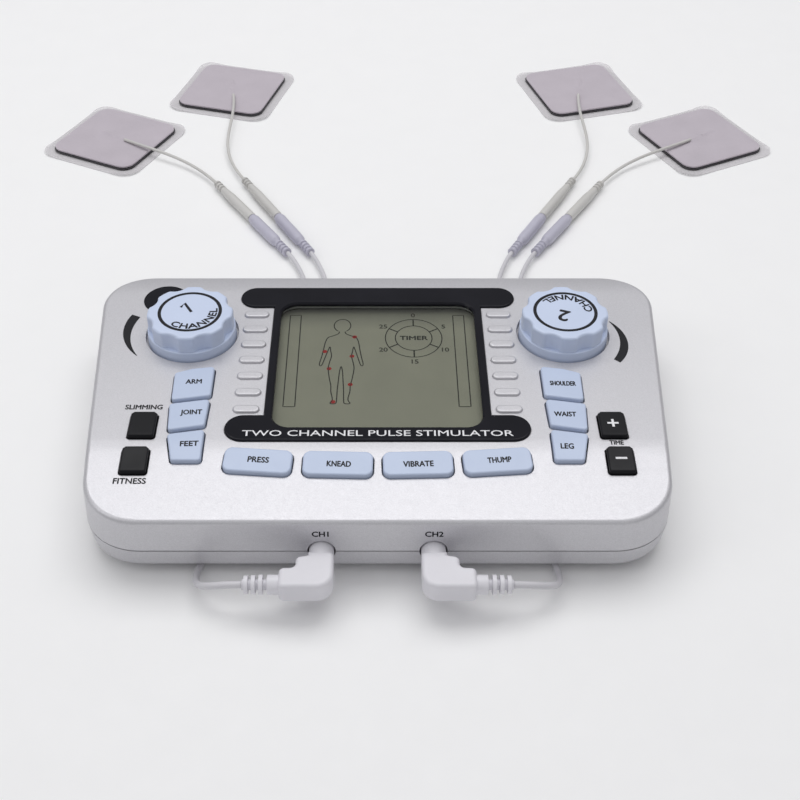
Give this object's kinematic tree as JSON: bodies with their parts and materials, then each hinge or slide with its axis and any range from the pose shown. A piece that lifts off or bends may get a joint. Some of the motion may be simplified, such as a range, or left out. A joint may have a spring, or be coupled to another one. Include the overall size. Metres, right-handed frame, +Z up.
{
  "type": "tens unit",
  "caption": "Two-channel electrical nerve stimulator with a key pad, a display and intensity knobs, and wired self-adhesive electrode pads.",
  "frame": {"origin": "on the resting plane, below the middle of the case", "axes": "+Z up, +X to the right of the user, +Y to the back of the case, where the pads lie"},
  "size_m": [0.3176, 0.3396, 0.034],
  "materials": {
    "silver_case": "satin silver paint on ABS",
    "gloss_black": "polished",
    "clear_window": "clear acrylic",
    "lcd_glass": "olive reflective display",
    "white_plastic": "moulded",
    "black_plastic": "moulded",
    "board_green": "solder mask",
    "board_metal": "pressed",
    "cell_wrap": "plain wrap",
    "contact_metal": "plated",
    "screw_steel": "zinc plated",
    "foot_rubber": "moulded",
    "blue_key": "smooth moulded",
    "black_key": "smooth moulded",
    "blue_knob": "smooth moulded",
    "plug_plastic": "soft overmould",
    "cable_sheath": "PVC sheath",
    "connector_plastic": "moulded",
    "pad_wire": "PVC sheath",
    "pad_fabric": "non-woven backing",
    "pad_gel": "conductive gel",
    "pad_liner": "clear film"
  },
  "bodies": {
    "case": {"upper_case": "silver_case", "lower_case": "silver_case", "display_bezel": "gloss_black", "display_window": "clear_window", "lcd_panel": "lcd_glass", "lcd_holder": "white_plastic", "indicator_window": "gloss_black", "tact_switches": "black_plastic", "main_board": "board_green", "pulse_transformers": "black_plastic", "buzzer": "black_plastic", "potentiometers": "board_metal", "output_jacks": "black_plastic", "aaa_cells": "cell_wrap", "battery_contacts": "contact_metal", "case_screws": "screw_steel", "rubber_feet": "foot_rubber"},
    "battery_door": {"battery_door": "silver_case"},
    "key_arm": {"key_arm": "blue_key"},
    "key_joint": {"key_joint": "blue_key"},
    "key_feet": {"key_feet": "blue_key"},
    "key_shoulder": {"key_shoulder": "blue_key"},
    "key_waist": {"key_waist": "blue_key"},
    "key_leg": {"key_leg": "blue_key"},
    "key_press": {"key_press": "blue_key"},
    "key_knead": {"key_knead": "blue_key"},
    "key_vibrate": {"key_vibrate": "blue_key"},
    "key_thump": {"key_thump": "blue_key"},
    "key_slimming": {"key_slimming": "black_key"},
    "key_fitness": {"key_fitness": "black_key"},
    "key_plus": {"key_plus": "black_key"},
    "key_minus": {"key_minus": "black_key"},
    "knob_1": {"knob_1": "blue_knob", "pot_shaft_1": "contact_metal"},
    "knob_2": {"knob_2": "blue_knob", "pot_shaft_2": "contact_metal"},
    "lead_1": {"plug_1": "plug_plastic", "lead_1": "cable_sheath", "lead_connectors_1": "connector_plastic", "metal_pins_1": "contact_metal"},
    "pad_1a": {"pad_lead_1a": "pad_wire", "pad_fabric_1a": "pad_fabric", "pad_gel_1a": "pad_gel", "pad_liner_1a": "pad_liner"},
    "pad_1b": {"pad_lead_1b": "pad_wire", "pad_fabric_1b": "pad_fabric", "pad_gel_1b": "pad_gel", "pad_liner_1b": "pad_liner"},
    "lead_2": {"plug_2": "plug_plastic", "lead_2": "cable_sheath", "lead_connectors_2": "connector_plastic", "metal_pins_2": "contact_metal"},
    "pad_2a": {"pad_lead_2a": "pad_wire", "pad_fabric_2a": "pad_fabric", "pad_gel_2a": "pad_gel", "pad_liner_2a": "pad_liner"},
    "pad_2b": {"pad_lead_2b": "pad_wire", "pad_fabric_2b": "pad_fabric", "pad_gel_2b": "pad_gel", "pad_liner_2b": "pad_liner"}
  },
  "joints": [
    {"name": "battery_door_slide", "type": "slide", "parent": "case", "child": "battery_door", "axis": [0, 1, 0], "range_m": [0, 0.006]},
    {"name": "key_arm_press", "type": "slide", "parent": "case", "child": "key_arm", "axis": [0, 0, -1], "range_m": [0, 0.0005]},
    {"name": "key_joint_press", "type": "slide", "parent": "case", "child": "key_joint", "axis": [0, 0, -1], "range_m": [0, 0.0005]},
    {"name": "key_feet_press", "type": "slide", "parent": "case", "child": "key_feet", "axis": [0, 0, -1], "range_m": [0, 0.0005]},
    {"name": "key_shoulder_press", "type": "slide", "parent": "case", "child": "key_shoulder", "axis": [0, 0, -1], "range_m": [0, 0.0005]},
    {"name": "key_waist_press", "type": "slide", "parent": "case", "child": "key_waist", "axis": [0, 0, -1], "range_m": [0, 0.0005]},
    {"name": "key_leg_press", "type": "slide", "parent": "case", "child": "key_leg", "axis": [0, 0, -1], "range_m": [0, 0.0005]},
    {"name": "key_press_press", "type": "slide", "parent": "case", "child": "key_press", "axis": [0, 0, -1], "range_m": [0, 0.0005]},
    {"name": "key_knead_press", "type": "slide", "parent": "case", "child": "key_knead", "axis": [0, 0, -1], "range_m": [0, 0.0005]},
    {"name": "key_vibrate_press", "type": "slide", "parent": "case", "child": "key_vibrate", "axis": [0, 0, -1], "range_m": [0, 0.0005]},
    {"name": "key_thump_press", "type": "slide", "parent": "case", "child": "key_thump", "axis": [0, 0, -1], "range_m": [0, 0.0005]},
    {"name": "key_slimming_press", "type": "slide", "parent": "case", "child": "key_slimming", "axis": [0, 0, -1], "range_m": [0, 0.0005]},
    {"name": "key_fitness_press", "type": "slide", "parent": "case", "child": "key_fitness", "axis": [0, 0, -1], "range_m": [0, 0.0005]},
    {"name": "key_plus_press", "type": "slide", "parent": "case", "child": "key_plus", "axis": [0, 0, -1], "range_m": [0, 0.0005]},
    {"name": "key_minus_press", "type": "slide", "parent": "case", "child": "key_minus", "axis": [0, 0, -1], "range_m": [0, 0.0005]},
    {"name": "knob_1_turn", "type": "hinge", "parent": "case", "child": "knob_1", "pos_m": [-0.0612, 0.0273, 0], "axis": [0, 0, 1], "range_deg": [-210, 90]},
    {"name": "knob_2_turn", "type": "hinge", "parent": "case", "child": "knob_2", "pos_m": [0.0612, 0.0273, 0], "axis": [0, 0, 1], "range_deg": [-100, 200]},
    {"name": "plug_1_pull", "type": "slide", "parent": "case", "child": "lead_1", "axis": [0, -1, 0], "range_m": [0, 0.014]},
    {"name": "pad_1a_pull", "type": "slide", "parent": "lead_1", "child": "pad_1a", "axis": [-0.5413, 0.8408, 0], "range_m": [0, 0.013]},
    {"name": "pad_1b_pull", "type": "slide", "parent": "lead_1", "child": "pad_1b", "axis": [-0.4918, 0.8707, 0], "range_m": [0, 0.013]},
    {"name": "plug_2_pull", "type": "slide", "parent": "case", "child": "lead_2", "axis": [0, -1, 0], "range_m": [0, 0.014]},
    {"name": "pad_2a_pull", "type": "slide", "parent": "lead_2", "child": "pad_2a", "axis": [0.5413, 0.8408, 0], "range_m": [0, 0.013]},
    {"name": "pad_2b_pull", "type": "slide", "parent": "lead_2", "child": "pad_2b", "axis": [0.4918, 0.8707, 0], "range_m": [0, 0.013]}
  ]
}
